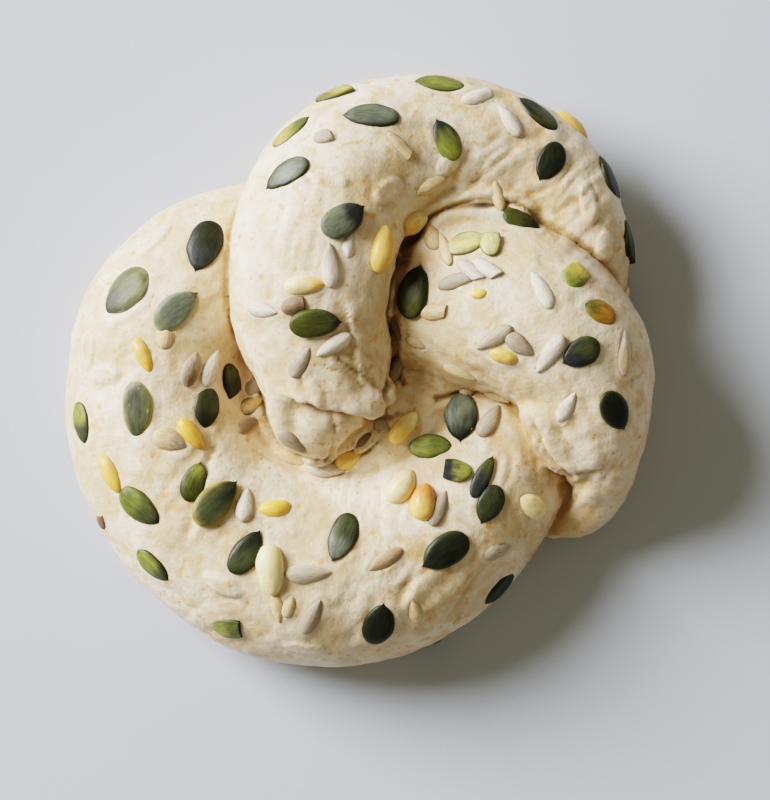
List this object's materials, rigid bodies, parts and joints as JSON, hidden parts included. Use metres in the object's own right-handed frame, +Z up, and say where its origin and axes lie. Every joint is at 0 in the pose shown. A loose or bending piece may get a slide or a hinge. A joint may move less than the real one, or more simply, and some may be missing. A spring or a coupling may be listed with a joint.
{
  "type": "filled knot bread",
  "caption": "Thick rope of soft raw dough tied in an overhand knot, its skin studded all over with pumpkin seeds, sunflower kernels and pine nuts.",
  "frame": {"origin": "a point of the flat underside, at the middle of the knot's outline", "axes": "+Z up; +X to the right and +Y away, as the knot is seen from above with its tucked-under end at the lower right"},
  "size_m": [0.1464, 0.1482, 0.0523],
  "materials": {
    "dough": "soft, slightly moist raw dough",
    "pumpkin_seed": "dark green, satin",
    "sunflower_seed": "grey-cream, dry",
    "pine_nut": "waxy ivory-yellow"
  },
  "bodies": {
    "root": {"knot_dough": "dough"}
  },
  "joints": []
}
